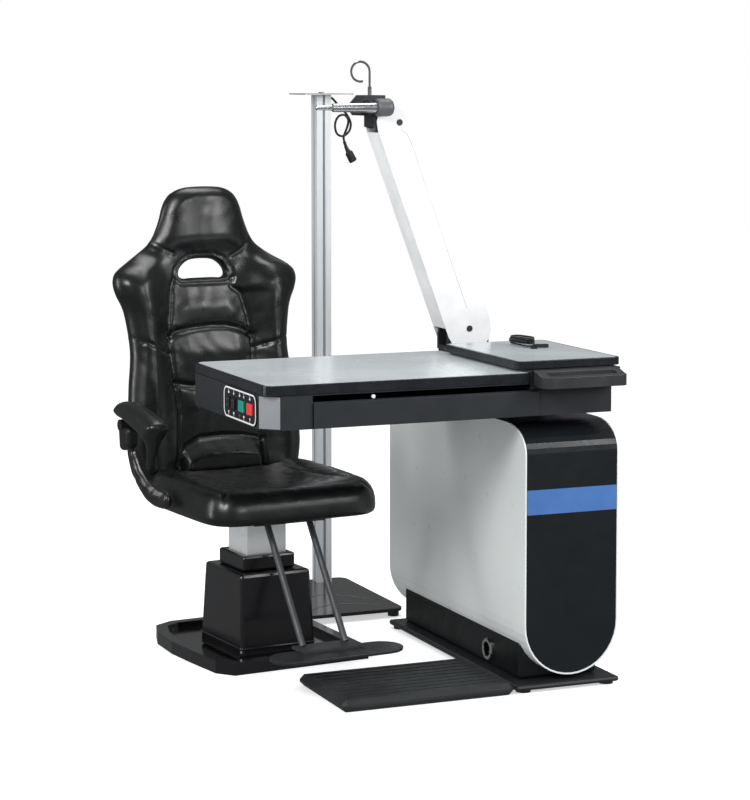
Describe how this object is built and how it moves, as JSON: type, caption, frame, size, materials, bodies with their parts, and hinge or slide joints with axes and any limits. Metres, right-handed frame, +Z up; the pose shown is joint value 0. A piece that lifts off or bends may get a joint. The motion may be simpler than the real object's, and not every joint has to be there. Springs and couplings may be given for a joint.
{
  "type": "ophthalmic refraction unit",
  "caption": "An eye examination stand: a grey instrument table on a lift cabinet, a balanced arm, a black patient chair and a slim projector column on one foot.",
  "frame": {"origin": "On the floor, at the centre of the bounding box seen from above.", "axes": "+Z up, +X to the right along the front edge of the table, +Y to the back, towards the projector column. Metres."},
  "size_m": [1.1111, 1.474, 1.5684],
  "materials": {
    "charcoal_steel": "satin",
    "black_plastic": "satin",
    "chrome": "polished",
    "ribbed_rubber": "matte",
    "white_enamel": "satin",
    "black_enamel": "satin",
    "steel": "satin",
    "black_casting": "gloss",
    "gloss_black_plastic": "gloss",
    "aluminium": "satin",
    "rubber": "matte",
    "grey_laminate": "satin",
    "green_plastic": "gloss",
    "red_plastic": "gloss",
    "grey_metal": "satin",
    "white_plastic": "satin",
    "grey_plastic": "satin",
    "black_leather": "gloss"
  },
  "bodies": {
    "base": {"base_plate": "charcoal_steel", "plinth": "black_plastic", "port_ring": "chrome", "foot_platform": "ribbed_rubber", "cabinet_shell": "white_enamel", "cabinet_front": "black_enamel", "cabinet_rear": "white_enamel", "cabinet_top": "black_enamel", "lift_outer_column": "steel", "power_supply": "charcoal_steel", "chair_base": "black_casting", "chair_shroud": "black_plastic", "chair_collar": "black_plastic", "column_base": "gloss_black_plastic", "projector_column": "aluminium", "projector_tray": "aluminium", "cord_grommet": "rubber", "projector_cord": "rubber", "projector_connector": "black_plastic"},
    "table": {"lift_inner_column": "steel", "table_frame": "charcoal_steel", "table_top": "grey_laminate", "top_edging": "rubber", "corner_plate": "black_plastic", "control_panel": "black_plastic", "arm_bracket": "steel"},
    "drawer": {"drawer_box": "charcoal_steel", "drawer_front": "charcoal_steel"},
    "left_rocker": {"left_rocker": "black_plastic"},
    "right_rocker": {"right_rocker": "black_plastic"},
    "green_switch": {"green_switch": "green_plastic"},
    "red_switch": {"red_switch": "red_plastic"},
    "slide_top": {"slide_carriage": "aluminium", "slide_board": "grey_laminate", "slide_edging": "rubber", "pull_handle": "grey_metal", "cord_gland": "black_plastic", "lamp_lead": "rubber", "lead_hank": "rubber", "lead_plug": "black_plastic"},
    "yoke": {"arm_yoke": "steel"},
    "arm": {"main_link": "steel", "arm_cover_front": "white_plastic", "arm_cover_rear": "white_plastic"},
    "level_link": {"level_link": "steel"},
    "head": {"arm_neck": "black_enamel", "head_block": "black_enamel", "head_cap": "grey_plastic", "spindle": "chrome", "hook": "chrome"},
    "chair_lift": {"chair_column": "white_enamel"},
    "seat": {"seat_pan": "charcoal_steel", "seat_cushion": "black_leather", "backrest": "black_leather", "armrest_bracket": "black_leather", "footrest_frame": "grey_metal", "footplate": "black_enamel"},
    "armrest": {"armrest_pad": "black_leather"}
  },
  "joints": [
    {"name": "table_lift", "type": "slide", "parent": "base", "child": "table", "axis": [0, 0, 1], "range_m": [0, 0.15]},
    {"name": "drawer_slide", "type": "slide", "parent": "table", "child": "drawer", "axis": [0, -1, 0], "range_m": [0, 0.25]},
    {"name": "left_rocker_press", "type": "slide", "parent": "table", "child": "left_rocker", "axis": [1, 0, 0], "range_m": [0, 0.002], "stiffness_N_per_m": 400},
    {"name": "right_rocker_press", "type": "slide", "parent": "table", "child": "right_rocker", "axis": [1, 0, 0], "range_m": [0, 0.002], "stiffness_N_per_m": 400},
    {"name": "green_switch_press", "type": "slide", "parent": "table", "child": "green_switch", "axis": [1, 0, 0], "range_m": [0, 0.002], "stiffness_N_per_m": 400},
    {"name": "red_switch_press", "type": "slide", "parent": "table", "child": "red_switch", "axis": [1, 0, 0], "range_m": [0, 0.002], "stiffness_N_per_m": 400},
    {"name": "slide_travel", "type": "slide", "parent": "table", "child": "slide_top", "axis": [-1, 0, 0], "range_m": [0, 0.4]},
    {"name": "arm_swing", "type": "hinge", "parent": "table", "child": "yoke", "pos_m": [0.4026, -0.026, 0.79], "axis": [0, 0, 1], "range_deg": [-10, 90]},
    {"name": "arm_tilt", "type": "hinge", "parent": "yoke", "child": "arm", "pos_m": [0.4026, -0.026, 0.848], "axis": [0, 1, 0], "range_deg": [-26, 10]},
    {"name": "level_follow", "type": "hinge", "parent": "yoke", "child": "level_link", "pos_m": [0.3606, -0.026, 0.848], "axis": [0, 1, 0], "range_deg": [-26, 10]},
    {"name": "head_level", "type": "hinge", "parent": "arm", "child": "head", "pos_m": [0.1965, -0.026, 1.4051], "axis": [0, 1, 0], "range_deg": [-10, 26]},
    {"name": "chair_height", "type": "slide", "parent": "base", "child": "chair_lift", "axis": [0, 0, 1], "range_m": [0, 0.15]},
    {"name": "chair_swivel", "type": "hinge", "parent": "chair_lift", "child": "seat", "pos_m": [-0.1984, -0.038, 0.36], "axis": [0, 0, 1], "range_deg": [0, 15]},
    {"name": "armrest_flip", "type": "hinge", "parent": "seat", "child": "armrest", "pos_m": [-0.52338, 0.07867, 0.617], "axis": [-0.9945, -0.1045, 0], "range_deg": [0, 90]}
  ],
  "couplings": [
    {"joint": "level_follow", "follows": "arm_tilt", "ratio": 1},
    {"joint": "head_level", "follows": "arm_tilt", "ratio": -1}
  ]
}
